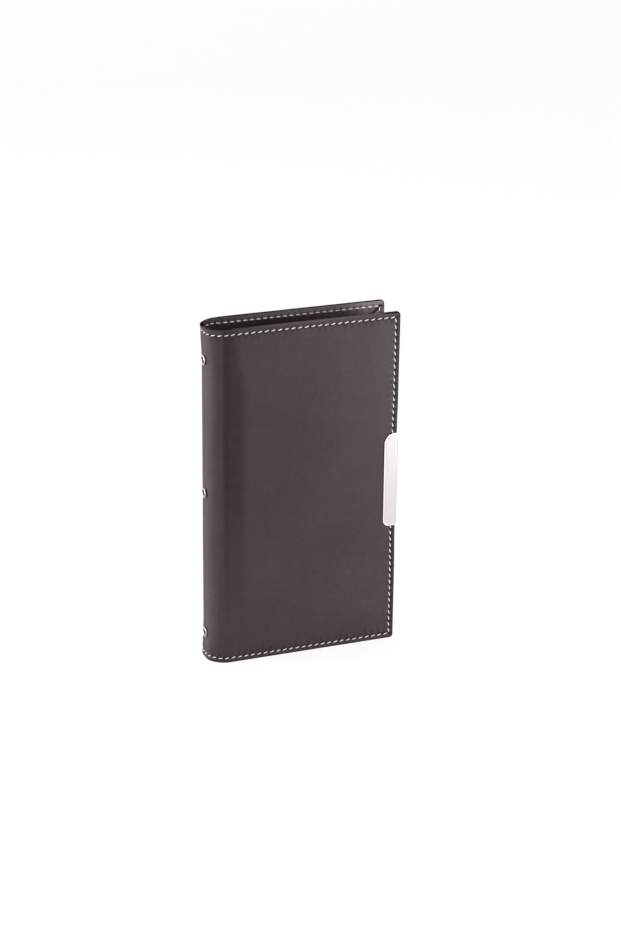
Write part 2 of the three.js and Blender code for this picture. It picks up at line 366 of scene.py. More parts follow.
def skin_depth(side, u, z, d):
    """How far the skin's outside lies under its plain form. d is the distance from the edge."""
    x, y, _ = wrap(side, u)
    end = min(z, HEIGHT - z)
    depth = PLAY
    if d < EDGE_ROUND:
        depth += EDGE_ROUND - math.sqrt(EDGE_ROUND ** 2 - (EDGE_ROUND - d) ** 2)
    depth += 0.24 * hump(d, SEAM, 0.7)
    depth += 0.14 * (1 - smooth(SEAM, SEAM + 9, d)) + 0.2 * (1 - smooth(0, SEAM, d))
    depth += pull(u, z) * (0.20 * hump(d, SEAM + 0.6, 0.8) + 0.09 * hump(d, SEAM - 0.9, 0.6))
    depth += 0.05 * pull(u, z) * math.exp(-abs(d - SEAM - 1) / 2.5)
    depth += GROOVE * crease(u, z) * smooth(0, 4, d)
    flare = FOOT_FLARE if z < HEIGHT / 2 else TOP_FLARE
    depth += (DISH * smooth(3, 24, end) - flare * math.exp(-end / 4.6)) * (1 - smooth(4, 13, u))
    for height in RIVET_HEIGHTS:
        depth += 0.25 * hump(math.hypot(u, z - height), 2.8, 1.9)
    cloud = noise.noise(Vector((x, y, z)) * 0.045)
    return depth + 0.05 * cloud + 0.025 * noise.noise(Vector((x, y, z)) * 0.16)


def lining_depth(u, z, d):
    """How far the lining's inside lies under its plain form."""
    depth = 0.14 * hump(d, INNER_SEAM, 0.7) + 0.07 * pull(u, z) * hump(d, INNER_SEAM + 0.7, 0.7)
    if d < LINING_ROUND:
        depth += LINING_ROUND - math.sqrt(LINING_ROUND ** 2 - (LINING_ROUND - d) ** 2)
    return depth + 0.08 * (1 - smooth(INNER_SEAM, INNER_SEAM + 6, d)) * smooth(0, 1, d)


def case_point(side, u, z, inside):
    """A point of the case with its outward direction and its distance from the edge."""
    a, b, d = round_corner(GIRTH - u, min(z, HEIGHT - z), CORNER)
    u = GIRTH - a
    z = b if z < HEIGHT / 2 else HEIGHT - b
    x, y, outward = wrap(side, u)
    if inside:
        wall = SPINE_WALL + (COVER_WALL - SPINE_WALL) * smooth(11.5, 14, cover_x(u))
        depth = wall - lining_depth(u, z, d)
    else:
        depth = skin_depth(side, u, z, d)
    x += spread(z) * smooth(WIDTH / 2, WIDTH, cover_x(u))
    return Vector((x, y, z - sag(u, z))) - outward * depth, outward, d


def even(start, end, size):
    count = round((end - start) / size)
    return [start + (end - start) * i / count for i in range(count)]


def calf(name, colour, lit_colour, gloss, grain, pucker, dimple_shade):
    """Smooth calf: fine closed grain, a cloudy dye and black edges. Its colour is painted paler where
    sheen and light are painted in, and darker where shade is painted into the hinge crease and the
    border by the seam. The sewing puckers it: dimples at the holes, pucker from the edge and short
    creases, with painted shade in the dimples and creases."""
    finish = Finish(name)
    hide = finish.mark("hide", "Vector")
    edge = finish.mark("edge")
    painted_shade = finish.mark("painted_shade")
    painted_light = finish.mark("painted_light")
    inset = finish.mark("inset")
    stitches = finish.mark("stitches")
    cloud = finish.noise(hide, 26.0, 4.0, 0.6)
    patchy = finish.noise(hide, 140.0, 2.0)
    fleck = finish.noise(hide, 420.0, 3.0, 0.65)
    holes = finish.wave(stitches)
    dimple = finish.ramp(inset, pucker - 1.1, pucker) * finish.ramp(inset, pucker + 1.2, pucker)
    creases = finish.wave(stitches + inset * 0.11 + patchy * 0.2)
    creases = creases * creases * finish.ramp(inset, SEAM, SEAM + 1) * finish.ramp(inset, SEAM + 6, SEAM + 1)
    dimples_and_shade = holes * holes * dimple * 1.3 + creases * finish.ramp(patchy, 0.3, 0.6) * 0.8
    cells = finish.node("ShaderNodeTexVoronoi", None, {"Vector": hide, "Scale": 1500.0})
    wrinkle = finish.noise(hide, 900.0, 3.0, 0.6)
    # Painted light: the dye turns to the paler lit colour where the mesh is marked lit, a painted sheen and
    # painted light.
    dyed = finish.tint(painted_light * (cloud + 0.5), colour, lit_colour)
    dyed = finish.tint(cloud * 1.1 - 0.3, dyed, screen(34, 24, 20))
    dyed = finish.tint(fleck * 0.6 - 0.1, dyed, screen(24, 18, 18))
    # Painted shade: darker in the hinge crease and on the border outside the seam.
    dyed = finish.tint(painted_shade * (patchy * 0.5 + 0.5), dyed, screen(26, 16, 12))
    # Painted shade: darker in the dimples at the stitch holes and in the short creases by the seam.
    dyed = finish.tint(dimples_and_shade * dimple_shade, dyed, screen(16, 10, 12))
    dyed = finish.tint(edge, dyed, screen(14, 11, 11))
    height = (cells * 0.6 + wrinkle * 0.8 + fleck * 0.5) * (1 - edge) - dimples_and_shade * 2
    return finish.surface({
        "Base Color": dyed,
        "Roughness": gloss + 0.12 * cloud + 0.10 * fleck + 0.12 * painted_shade,
        "Normal": finish.relief(height, 0.06 * MM, grain),
        "Specular IOR Level": 0.15,
    })


def burnished_edge():
    """The edge: waxed and burnished round and dyed black, the layers just showing. Where the black is held
    back, along the front cover's top, it shows a paler tone that is a painted highlight.
    """
    finish = Finish("burnished_edge")
    hide = finish.mark("hide", "Vector")
    fibre = finish.noise(hide, 700.0, 4.0, 0.7)
    patch = finish.noise(hide, 60.0, 3.0, 0.6)
    edge = finish.mark("edge")
    # Painted highlight: the paler tone used where the edge is not dyed black.
    lit_top_tone = finish.tint(fibre * patch * 1.4, screen(68, 61, 61), screen(88, 80, 79))
    return finish.surface({
        "Base Color": finish.tint(edge, lit_top_tone, screen(15, 13, 13)),
        "Roughness": 0.55 + 0.2 * fibre,
        "Normal": finish.relief(fibre, 0.08 * MM, 0.6),
        "Specular IOR Level": 0.0,
    })


def note(piece, name, values):
    """Leaves a value on each point of the mesh for its finish to read."""
    vectors = isinstance(values[0], tuple)
    kind = "FLOAT_VECTOR" if vectors else "FLOAT"
    attribute = piece.data.attributes.new(name, kind, "POINT")
    if vectors:
        attribute.data.foreach_set("vector", [number for value in values for number in value])
    else:
        attribute.data.foreach_set("value", values)


def note_hide(piece, *marks):
    """Leaves all that calf() reads."""
    for name, values in zip(("hide", "edge", "painted_shade", "painted_light", "inset", "stitches"), marks):
        note(piece, name, values)


def closed_skin(columns, rows, reverse=False):
    """Faces of a closed skin from two grids of points, one after the other."""
    layer = columns * rows
    faces = []
    for i in range(columns - 1):
        for j in range(rows - 1):
            a = i * rows + j
            faces.append((a, a + rows, a + rows + 1, a + 1))
            faces.append((layer + a, layer + a + 1, layer + a + rows + 1, layer + a + rows))
    last = columns - 1
    rim = [i * rows for i in range(last)] + [last * rows + j for j in range(rows - 1)]
    rim += [i * rows + rows - 1 for i in range(last, 0, -1)] + list(range(rows - 1, 0, -1))
    for a, b in zip(rim, rim[1:] + rim[:1]):
        faces.append((a, layer + a, layer + b, b))
    return [face[::-1] for face in faces] if reverse else faces


def hinge_line(side):
    """The two places between which the skin bends when the cover turns."""
    ends = []
    for u in BENDING:
        x, y, _ = wrap(side, u)
        ends.append(Vector((x, y, HEIGHT / 2)) * MM)
    return ends


# The second colour of each calf is its painted lit colour; the lining's is much paler, for the painted light
# on its strip above the seam.
case_calf = calf("case_calf", screen(54, 42, 43), screen(61, 51, 54), 0.38, 0.55, SEAM + 0.4, 0.85)
lining_calf = calf("lining_calf", screen(60, 48, 52), screen(134, 124, 126), 0.45, 0.6, INNER_SEAM - 0.9, 0.5)
dyed_and_lit_edge = burnished_edge()
border = [0, 0.1, 0.25, 0.5, 0.8, 1.2, 1.7, 2.2, 2.6, 2.9, 3.25, 3.7, 4.2, 4.8]
far_border = [-offset for offset in reversed(border)]
around = [k * TOP_PITCH / 4 for k in range(math.floor((GIRTH - BORDER) * 4 / TOP_PITCH) + 1)]
around += [GIRTH + offset for offset in far_border]
upward = [SEAM + k * SIDE_PITCH / 4 for k in range(round((HEIGHT - 2 * SEAM) * 4 / SIDE_PITCH))]
upward = [z for z in upward if BORDER < z < HEIGHT - BORDER]
upward = border + upward + [HEIGHT + offset for offset in far_border]

for side, cover in ((-1, "front"), (1, "back")):
    points = []
    hide = []
    edge = []
    painted_shade = []
    painted_light = []
    inset = []
    stitches = []
    rim_distance = []
    for inside in (False, True):
        for u in around:
            for z in upward:
                point, _, d = case_point(side, u, z, inside)
                points.append(point)
                hide.append((side * u * MM, z * MM, 0.4 * inside))
                rim_distance.append(d + (EDGE_ROUND - 0.2 if inside else 0))
                by_fore = GIRTH - u < min(z, HEIGHT - z)
                # Painted highlight: along the front cover's top the edge is kept out of the black dye in its
                # middle and half out near the spine, so its paler tone stands for light falling on it.
                black = 1
                if side < 0 and z > HEIGHT / 2:
                    x = cover_x(u)
                    black = 0.5 * (1 - smooth(12, 55, x)) + smooth(WIDTH - 13, WIDTH - 7, x)
                dyed = LINING_DYED if inside and side > 0 and not by_fore else DYED
                edge.append(black * (1 - smooth(dyed / 3, dyed, d)))
                # Painted shade: the border outside the seam is darkened, most along the fore edge and least
                # inside and along the top, and the hinge crease is darkened too.
                if inside:
                    border_shade = 0.1
                elif by_fore:
                    border_shade = 0.65
                else:
                    border_shade = 0.1 if z > HEIGHT / 2 else 0.3
                border_shade *= 1 - smooth(SEAM - 0.5, SEAM + 0.3, d)
                painted_shade.append(min(border_shade + (0 if inside else crease(u, z)), 1))
                inset.append(d + (1.2 if by_fore and not inside else 0))
                stitches.append((z - SEAM) / SIDE_PITCH if by_fore else u / TOP_PITCH)
                # Painted light and sheen: paler towards the cover's upper right and fore edge, along the foot
                # and over the spine's round; inside, the strip above the seam is painted lit, brighter
                # towards the fore edge.
                foot = 1 - smooth(10, 130, z)
                spine_sheen = 0.9 * hump(cover_x(u), 5.0, 3.0)
                light_share = smooth(45, 112, cover_x(u)) * smooth(-150, 200, z)
                light_share = min(light_share + 0.6 * foot + spine_sheen, 1.2)
                if inside:
                    strip = 1 - smooth(INNER_SEAM - 0.1, INNER_SEAM + 0.7, d)
                    pale = 0.4 if by_fore else 0.45 + 0.55 * smooth(10, 55, cover_x(u))
                    light_share = strip * pale + 0.35 * (1 - strip) * light_share
                painted_light.append(light_share)
    rows = len(upward)
    layer = len(around) * rows
    faces = closed_skin(len(around), rows, side > 0)
    case = made_mesh(f"{cover}_case", points, faces, case_calf, lining_calf, dyed_and_lit_edge)
    for polygon in case.data.polygons:
        polygon.material_index = int(min(polygon.vertices) >= layer)
        if max(rim_distance[v] for v in polygon.vertices) < EDGE_ROUND:
            polygon.material_index = 2
        polygon.use_smooth = max(v % layer for v in polygon.vertices) >= rows
    note_hide(case, hide, edge, painted_shade, painted_light, inset, stitches)
    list(hinge_line(side))
    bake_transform(case)
    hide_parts(f"{cover}_leather", f"{cover}_board", f"{cover}_lining")
    if side < 0:
        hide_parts("spine_leather", "spine_lining")


# The sewing: one seam of waxed cream thread all round the case. Each stitch stands proud on
# both faces, slants a little and dives into its holes.
THREAD = 0.34
STITCH_SHARE = 0.70
OUTER_SLANT = math.tan(math.radians(16))
INNER_SLANT = math.tan(math.radians(4))
SPAN = 7
ROUND = 8
PLATE_LAP = 0.8
POCKET_THICK = 0.95
plate_low, plate_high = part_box("edge_plate")
pocket_low, pocket_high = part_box("back_pocket")


def waxed_thread():
    finish = Finish("waxed_thread")
    place = finish.node("ShaderNodeTexCoord", None, None, "Object")
    strands = {"Vector": place, "Scale": 1400.0, "Distortion": 2.0, "Detail": 2.0}
    twist = finish.node("ShaderNodeTexWave", {"bands_direction": "DIAGONAL"}, strands, "Fac")
    soil = finish.noise(place, 160.0, 2.0)
    colour = finish.tint(twist * 0.35, screen(206, 196, 197), screen(174, 162, 162))
    colour = finish.tint(soil * 0.3, colour, screen(166, 154, 153))
    # Painted light: inner stitches turn paler, a painted light where they lie in shade.
    painted_thread_light = finish.mark("painted_thread_light")
    colour = finish.tint(painted_thread_light, colour, screen(246, 240, 240))
    return finish.surface({
        "Base Color": colour,
        "Roughness": 0.5 + 0.15 * soil,
        "Normal": finish.relief(twist, 0.08 * MM, 0.7),
        "Specular IOR Level": 0.35,
    })


def stitch(points, faces, start, end, outward):
    """Adds one stitch: a strand that rises out of one hole and bends down into the next."""
    beside = outward.cross(end - start).normalized()
    first = len(points)
    for i in range(SPAN):
        arch = math.sin(math.pi * i / (SPAN - 1)) ** 0.55
        girth = THREAD * (0.55 + 0.45 * arch)
        centre = start.lerp(end, i / (SPAN - 1)) + outward * (0.34 * arch - 0.26)
        for k in range(ROUND):
            angle = 2 * math.pi * k / ROUND
            sideways = beside * (girth * math.cos(angle))
            points.append(centre + sideways + outward * (0.8 * girth * math.sin(angle)))
    for i in range(SPAN - 1):
        for k in range(ROUND):
            a = first + i * ROUND + k
            b = first + i * ROUND + (k + 1) % ROUND
            faces.append((a, a + ROUND, b + ROUND, b))
    faces.append(tuple(range(first, first + ROUND)))
    faces.append(tuple(range(first + SPAN * ROUND - 1, first + (SPAN - 1) * ROUND - 1, -1)))


def seam_places():
    """Each stitch's middle, its direction and the way to the case's edge, as (u, z) pairs."""
    for k in range(round((GIRTH - SEAM) / TOP_PITCH)):
        yield (k + 0.5) * TOP_PITCH, HEIGHT - SEAM, (1, 0), (0, 1), TOP_PITCH
        yield (k + 0.5) * TOP_PITCH, SEAM, (-1, 0), (0, -1), TOP_PITCH
    for k in range(round((HEIGHT - 2 * SEAM) / SIDE_PITCH)):
        yield GIRTH - SEAM, SEAM + (k + 0.5) * SIDE_PITCH, (0, -1), (1, 0), SIDE_PITCH


def under_plate(cover, u, z):
    covered = plate_low.z / MM + PLATE_LAP < z < plate_high.z / MM - PLATE_LAP
    return cover == "front" and covered and u > GIRTH - 2 * SEAM


def on_pocket(cover, u, z):
    past_start = SPINE_X + cover_x(u) > pocket_low.x / MM
    return cover == "back" and past_start and z < pocket_high.z / MM - 1


thread = waxed_thread()
for side, cover in ((-1, "front"), (1, "back")):
    points = []
    faces = []
    painted_thread_light = []
    for u, z, (along_u, along_z), (out_u, out_z), pitch in seam_places():
        if under_plate(cover, u, z):
            continue
        for inside in (False, True):
            slant = -side * (INNER_SLANT if inside else OUTER_SLANT)
            ends = []
            back = INNER_SEAM - SEAM if inside else 0
            for reach in (-pitch * STITCH_SHARE / 2, pitch * STITCH_SHARE / 2):
                u_end = u + reach * along_u + (reach * slant - back) * out_u
                z_end = z + reach * along_z + (reach * slant - back) * out_z
                point, outward, _ = case_point(side, u_end, z_end, inside)
                if inside and on_pocket(cover, u, z):
                    point = point - outward * POCKET_THICK
                ends.append(point)
            stitch(points, faces, ends[0], ends[1], -outward if inside else outward)
            # Painted light on the inner stitches: full near the spine, less towards the fore edge.
            thread_light = 1 - 0.65 * smooth(20, 90, cover_x(u)) if inside else 0.0
            painted_thread_light += [thread_light] * (len(points) - len(painted_thread_light))
    sewing = made_mesh(f"{cover}_sewing", points, faces, thread)
    note(sewing, "painted_thread_light", painted_thread_light)
    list(hinge_line(side))
    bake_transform(sewing)


# The edge plate: a strip of satin nickel folded to a channel, pressed over the front cover's
# fore edge. Its free corners are round and a fine line is engraved just inside its rim.
PLATE_GAUGE = 0.5
PLATE_CORNERS = (3.7, 6.2)
PLATE_BEND = 1.0
PLATE_EDGE = 0.18
ENGRAVED = 1.1
PLATE_LOW = plate_low / MM
PLATE_HIGH = plate_high / MM
FLANGE = PLATE_HIGH.x - PLATE_LOW.x - PLATE_BEND
FOLD = PLATE_BEND * math.pi / 2
FORE = PLATE_HIGH.y - PLATE_LOW.y - 2 * PLATE_BEND


def satin_metal(name, colour, gloss, scale, drawn):
    """Brushed metal: fine drawn lines, small dull spots and a little tarnish. Where it is
    marked, it is polished brighter or worn duller."""
    finish = Finish(name)
    place = finish.node("ShaderNodeTexCoord", None, None, "Object")
    stretch = finish.node("ShaderNodeVectorMath", {"operation": "MULTIPLY"}, {0: place, 1: drawn})
    lines = finish.noise(stretch, scale, 3.0, 0.7)
    spots = finish.noise(place, 130.0, 4.0, 0.6)
    polished = finish.mark("polished")
    dulled = finish.mark("dulled")
    tarnished = tuple(0.9 * part for part in colour[:3]) + (1.0,)
    bright = tuple(min(1.2 * part, 1) for part in colour[:3]) + (1.0,)
    dull = tuple(0.78 * part for part in colour[:3]) + (1.0,)
    toned = finish.tint(polished, finish.tint(spots * 0.5 + lines * 0.2, colour, tarnished), bright)
    return finish.surface({
        "Base Color": finish.tint(dulled, toned, dull),
        "Metallic": 1.0,
        "Roughness": gloss + 0.08 * lines + 0.06 * spots,
        "Normal": finish.relief(lines, 0.004 * MM, 0.5),
    })


def plate_path(s):
    """The channel's outside, s along from the front flange's free edge: a place and outward."""
    fore = PLATE_HIGH.x
    bend_x = fore - PLATE_BEND
    if s < FLANGE:
        return Vector((PLATE_LOW.x + s, PLATE_LOW.y, 0)), Vector((0, -1, 0))
    s -= FLANGE
    if s < FOLD:
        outward = Vector((math.sin(s / PLATE_BEND), -math.cos(s / PLATE_BEND), 0))
        return Vector((bend_x, PLATE_LOW.y + PLATE_BEND, 0)) + outward * PLATE_BEND, outward
    s -= FOLD
    if s < FORE:
        return Vector((fore, PLATE_LOW.y + PLATE_BEND + s, 0)), Vector((1, 0, 0))
    s -= FORE
    if s < FOLD:
        outward = Vector((math.cos(s / PLATE_BEND), math.sin(s / PLATE_BEND), 0))
        return Vector((bend_x, PLATE_HIGH.y - PLATE_BEND, 0)) + outward * PLATE_BEND, outward
    return Vector((bend_x - (s - FOLD), PLATE_HIGH.y, 0)), Vector((0, 1, 0))


satin_nickel = satin_metal("satin_nickel", screen(211, 206, 204), 0.14, 900.0, (1.0, 1.0, 0.05))
strip = 2 * FLANGE + 2 * FOLD + FORE
corner_steps = [0, 0.05, 0.1, 0.18, 0.3] + even(0.45, PLATE_CORNERS[1], 0.16)
flange_steps = corner_steps + even(PLATE_CORNERS[1], FLANGE, 0.6)
fold_steps = even(FLANGE, FLANGE + FOLD, 0.2) + [FLANGE + FOLD, FLANGE + FOLD + FORE / 2]
along = flange_steps + fold_steps
along += [strip - s for s in reversed(along[:-1])]
tall = PLATE_HIGH.z - PLATE_LOW.z
upright = corner_steps + even(PLATE_CORNERS[1], tall - PLATE_CORNERS[1], 2) + [tall - PLATE_CORNERS[1]]
upright += [tall - s for s in reversed(corner_steps)]
points = []
polished = []
dulled = []
for layer in (0, 1):
    for s in along:
        for t in upright:
            radius = PLATE_CORNERS[t > tall / 2]
            a, b, d = round_corner(min(s, strip - s), min(t, tall - t), radius)
            fold_end = 0.45 * hump(s - strip / 2, 0, FORE / 2 + PLATE_BEND)
            b += fold_end * max(1 - b / radius, 0)
            place, outward = plate_path(a if s < strip / 2 else strip - a)
            place.z = PLATE_LOW.z + (b if t < tall / 2 else tall - b)
            depth = 0.06 * hump(d, ENGRAVED, 0.16) + 0.02
            if d < PLATE_EDGE:
                depth += PLATE_EDGE - math.sqrt(PLATE_EDGE ** 2 - (PLATE_EDGE - d) ** 2)
            if layer:
                depth = PLATE_GAUGE
            points.append(place - outward * depth)
            polished.append(1 - smooth(0.5, 0.9, d))
            fold = hump(min(s, strip - s), FLANGE + 0.6 * FOLD, 0.7)
            dulled.append(min(0.5 * hump(d, ENGRAVED, 0.25) + fold, 1))
plate = made_mesh("edge_channel", points, closed_skin(len(along), len(upright)), satin_nickel)
note(plate, "polished", polished)
note(plate, "dulled", dulled)
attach(plate, "front_cover")
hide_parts("edge_plate")


# The pocket: a panel of the same calf sewn into the back cover along its foot and fore edge.
# Its mouth runs straight under the top seam and curves up into it at the fore edge.
POCKET_DIP = 4.6
POCKET_SCOOP = 7.5
POCKET_EDGE = 0.4
POCKET_INSET = 0.3
MOUTH_LIFT = 0.5
POCKET_ROWS = 120
POCKET_START = pocket_low.x / MM - SPINE_X
POCKET_TOP = pocket_high.z / MM


def mouth(x):
    """The height of the pocket's mouth, x from the spine's outside."""
    rise = 1 - (WIDTH - SEAM - x) / POCKET_SCOOP
    return POCKET_TOP - POCKET_DIP * (1 - min(max(rise, 0), 1) ** 2)


pocket_offsets = [0, 0.1, 0.25, 0.5, 0.9, 1.4, 2.0, 2.5, 2.9, 3.3, 3.8, 4.5, 5.5, 7.0]
mouth_offsets = [5.5, 4.2, 3, 2, 1.3, 0.8, 0.45, 0.2, 0.08, 0]
sideways = pocket_offsets[:5] + even(1.4, WIDTH - POCKET_START - 12, 1.5)
sideways += even(WIDTH - POCKET_START - 12, WIDTH - POCKET_START - 5.5, 0.5)
sideways += [WIDTH - POCKET_START - s for s in reversed(pocket_offsets[:-2])]
points = []
hide = []
edge = []
painted_shade = []
painted_light = []
inset = []
stitches = []
for layer in (0, 1):
    for s in sideways:
        x_plain = POCKET_START + s
        top = mouth(x_plain)
        span = top - pocket_offsets[-1] - mouth_offsets[0]
        heights = pocket_offsets + [
            pocket_offsets[-1] + span * (k + 1) / POCKET_ROWS for k in range(POCKET_ROWS - 1)
        ]
        heights += [top - t for t in mouth_offsets]
        for z_plain in heights:
            a, b, sewn = round_corner(WIDTH - x_plain, z_plain, CORNER)
            x = WIDTH - a - POCKET_INSET * math.exp(-a)
            z = b if z_plain < HEIGHT / 2 else z_plain
            u = GIRTH - WIDTH + x
            d = min(sewn, top - z, s + POCKET_EDGE / 2)
            lift = MOUTH_LIFT * math.exp(-(top - z) / 9) * smooth(0, 14, WIDTH - x) * smooth(-6, 20, s)
            if layer:
                depth = COVER_WALL + 0.05 + lift
            else:
                depth = COVER_WALL + POCKET_THICK + lift - lining_depth(u, z, max(sewn, 0.7))
            if d < POCKET_EDGE:
                roll = POCKET_EDGE - math.sqrt(POCKET_EDGE ** 2 - (POCKET_EDGE - d) ** 2)
                depth += roll if layer else -roll
            x += spread(z) * smooth(WIDTH / 2, WIDTH, x)
            points.append(Vector((SPINE_X + x, MIDDLE_Y + HALF_THICK - depth, z)))
            hide.append((x * MM, z * MM, 0.9))
            edge.append(1 - smooth(0.15, 0.45, d))
            painted_shade.append(0.0)
            # Painted sheen: slightly paler towards the fore edge.
            painted_light.append(0.2 * smooth(45, 112, x))
            inset.append(sewn)
            by_fore = WIDTH - x_plain < z_plain
            stitches.append((z - SEAM) / SIDE_PITCH if by_fore else (GIRTH - WIDTH + x) / TOP_PITCH)
columns = len(sideways)
rows = len(points) // (2 * columns)
pocket = made_mesh("back_cover_pocket", points, closed_skin(columns, rows), lining_calf)
note_hide(pocket, hide, edge, painted_shade, painted_light, inset, stitches)
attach(pocket, "back_cover")
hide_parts("back_pocket")


# The rivets: three tubular brass rivets, nickelled, through the spine and the mechanism
# plate. Each has a rolled rim round its open bore and is clenched over a washer inside.
HEAD = 3.0
BORE = 1.1
SHANK = 1.6
SUNK = 0.4
TURNS = 56


def turned(name, profile, height, material):
    """Turns a closed profile of (depth, radius) pairs about a line square to the spine."""
    points = []
    faces = []
    count = len(profile)
    for k in range(TURNS):
        angle = 2 * math.pi * k / TURNS
        for depth, radius in profile:
            y = MIDDLE_Y + radius * math.cos(angle)
            points.append((SPINE_X + depth, y, height + radius * math.sin(angle)))
    for k in range(TURNS):
        for i in range(count):
            a = k * count + i
            b = k * count + (i + 1) % count
            c = (k + 1) % TURNS * count
            faces.append((a, b, c + (i + 1) % count, c + i))
    return made_mesh(name, points, faces, material)


def arc(centre_depth, centre_radius, size, start, end, count):
    """Points of an arc in a turned profile, from one angle to another in degrees."""
    points = []
    for i in range(count + 1):
        angle = math.radians(start + (end - start) * i / count)
        points.append((centre_depth - size * math.sin(angle), centre_radius + size * math.cos(angle)))
    return points


ROLL = 0.5
HOLLOW = HEAD - 2 * ROLL
worn_nickel = satin_metal("worn_nickel", screen(176, 164, 163), 0.28, 500.0, (1.0, 1.0, 1.0))
# The bore's wall is coloured darker than the rivet's head.
dark_bore = satin_metal("dark_bore", screen(96, 90, 88), 0.5, 500.0, (1.0, 1.0, 1.0))
for place, (low, high) in zip(("bottom", "middle", "top"), rivet_boxes):
    height = (low.z + high.z) / 2 / MM
    foot = high.x / MM - SPINE_X
    head = SPINE_X - low.x / MM
    lip = SUNK - head + ROLL
    rim = arc(lip, HEAD - ROLL, ROLL, 0, 180, 14)
    throat = [(lip + 0.5, HOLLOW - 0.1), (lip + 0.9, HOLLOW - 0.3), (lip + 1.3, BORE + 0.3), (lip + 2, BORE)]
    clench = [(foot - 0.5, BORE), (foot - 0.15, BORE + 0.15), (foot - 0.02, BORE + 0.3), (foot - 0.12, SHANK)]
    under = [(lip + 2.2, SHANK), (lip + 1.5, SHANK + 0.2), (lip + 1, HOLLOW + 0.3), (lip + 0.6, HEAD - 0.1)]
    rivet = turned(f"rivet_{place}_head", rim + throat + clench + under, height, worn_nickel)
    rivet.data.materials.append(dark_bore)
    hollow = range(len(rim) - 1, len(rim) + len(throat))
    for polygon in rivet.data.polygons:
        polygon.material_index = int(polygon.index % len(rim + throat + clench + under) in hollow)
    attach(rivet, "spine")
    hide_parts(f"rivet_{place}")
    low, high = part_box(f"rivet_washer_{place}")
    inner = low.x / MM - SPINE_X
    outer = high.x / MM - SPINE_X
    size = (high.z - low.z) / 2 / MM
    ring = [(inner, SHANK + 0.1), (inner, size - 0.15)]
    ring += arc(outer - 0.15, size - 0.15, 0.15, 0, -90, 4)
    ring += [(outer, SHANK + 0.2), (outer - 0.1, SHANK + 0.1)]
    washer = turned(f"washer_{place}", ring, height, satin_nickel)
    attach(washer, "spine")
    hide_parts(f"rivet_washer_{place}")


# The ring mechanism: a sprung steel plate riveted to the spine, two blades under it and four
# rings of bright wire in halves. The wire is butted at the tips and staked into the blades.
WIRE = 1.0
WIRE_SIDES = 20
RING_STEPS = 40
ROOT = math.radians(136)
ring_low, ring_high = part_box("ring_1_front")
RING_TIP = ring_high.x / MM
RING_SIZE = MIDDLE_Y - ring_low.y / MM - WIRE
RING_X = RING_TIP - RING_SIZE - WIRE
TIP_GAP = MIDDLE_Y - ring_high.y / MM


def swept(name, path, radius, sides, material):
    """A round wire along a path of points, with softly rounded ends."""
    points = []
    faces = []
    count = len(path)
    rings = []
    for i, place in enumerate(path):
        ahead = (path[min(i + 1, count - 1)] - path[max(i - 1, 0)]).normalized()
        rings.append((place, ahead, radius))
    first, last = rings[0], rings[-1]
    soft = radius * 0.3
    rings[0] = (first[0] + first[1] * soft, first[1], radius)
    rings[-1] = (last[0] - last[1] * soft, last[1], radius)
    rings.insert(0, (first[0] + first[1] * soft * 0.3, first[1], radius * 0.9))
    rings.insert(0, (first[0], first[1], radius * 0.7))
    rings.append((last[0] - last[1] * soft * 0.3, last[1], radius * 0.9))
    rings.append((last[0], last[1], radius * 0.7))
    for place, ahead, size in rings:
        beside = ahead.cross(Vector((0, 0, 1))).normalized()
        above = beside.cross(ahead)
        for k in range(sides):
            angle = 2 * math.pi * k / sides
            points.append(place + beside * (size * math.cos(angle)) + above * (size * math.sin(angle)))
    for i in range(len(rings) - 1):
        for k in range(sides):
            a = i * sides + k
            b = i * sides + (k + 1) % sides
            faces.append((a, a + sides, b + sides, b))
    faces.append(tuple(range(sides)))
    faces.append(tuple(range(len(rings) * sides - 1, (len(rings) - 1) * sides - 1, -1)))
    return made_mesh(name, points, faces, material)


bright_steel = satin_metal("bright_steel", screen(214, 214, 216), 0.16, 1200.0, (1.0, 1.0, 0.2))
drawn_steel = satin_metal("drawn_steel", screen(202, 203, 205), 0.24, 800.0, (1.0, 1.0, 0.04))
for number in range(1, 5):
    low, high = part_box(f"ring_{number}_front")
    height = (low.z + high.z) / 2 / MM
    for side, half in ((-1, "front"), (1, "back")):
        path = []
        start = TIP_GAP / RING_SIZE
        for i in range(RING_STEPS + 1):
            angle = start + (ROOT - start) * i / RING_STEPS
            x = RING_X + RING_SIZE * math.cos(angle)
            path.append(Vector((x, MIDDLE_Y + side * RING_SIZE * math.sin(angle), height)))
        wire = swept(f"ring_{number}_{half}_wire", path, WIRE, WIRE_SIDES, bright_steel)
        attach(wire, f"{half}_rings")
        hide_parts(f"ring_{number}_{half}")
for node in ("mechanism_plate", "front_blade", "back_blade"):
    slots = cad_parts[node].material_slots
    for slot in slots:
        slot.material = drawn_steel


# The leaves: ten pocket sheets of clear film, each two films welded round three card pockets,
# with a punched binding strip. Five go with each cover.
LEAF_ROUND = 3.0
HOLE = 3.0
FILM_SOFT = 0.06
RIB = 0.7
RIB_RISE = 0.09
POCKETS = 3
WELD_END = 1.4
WELD_SIDE = 1.8
leaf_low, leaf_high = (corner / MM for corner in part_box("leaf_01"))
HOLE_X = leaf_low.x + 5.0
STRIP_X = leaf_low.x + 10.0


def clear_film():
    finish = Finish("clear_film")
    place = finish.node("ShaderNodeTexCoord", None, None, "Object")
    weld = finish.mark("weld")
    haze = finish.noise(place, 40.0, 3.0)
    ripple = finish.noise(place, 24.0, 2.0)
    return finish.surface({
        "Base Color": finish.tint(haze, screen(184, 187, 190), screen(206, 208, 210)),
        "Roughness": 0.10 + 0.12 * haze + 0.2 * weld,
        "Alpha": 0.02 + 0.05 * haze + 0.36 * weld,
        "Normal": finish.relief(ripple, 0.5 * MM, 0.25),
    })


